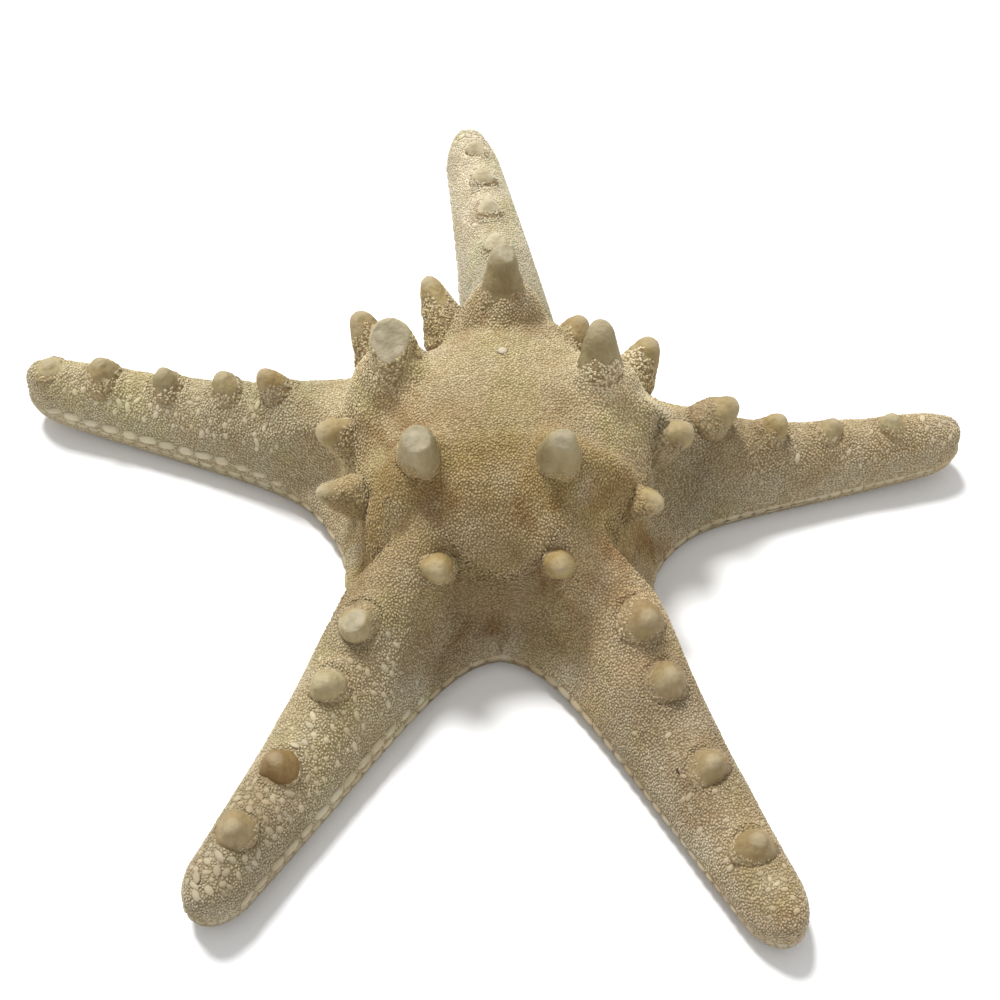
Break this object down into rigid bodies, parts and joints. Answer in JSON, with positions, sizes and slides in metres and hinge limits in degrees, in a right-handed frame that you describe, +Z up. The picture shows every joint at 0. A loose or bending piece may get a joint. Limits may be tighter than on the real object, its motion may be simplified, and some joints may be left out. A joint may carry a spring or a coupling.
{
  "type": "dried starfish",
  "caption": "Large dried horned sea star with tapering arms, a high domed disc with blunt horns, ridge knobs and a grooved flat underside.",
  "frame": {"origin": "centre of the bounding box in plan, on the plane the sole rests on", "axes": "+Z up through the disc; +Y along the arm that points away from the viewer, the longest span; +X to the viewer's right"},
  "size_m": [0.201, 0.2064, 0.0565],
  "materials": {
    "bleached_skin": "matte, grainy, bleached; the knobs smoother and slightly waxy"
  },
  "bodies": {
    "root": {"starfish": "bleached_skin"}
  },
  "joints": []
}
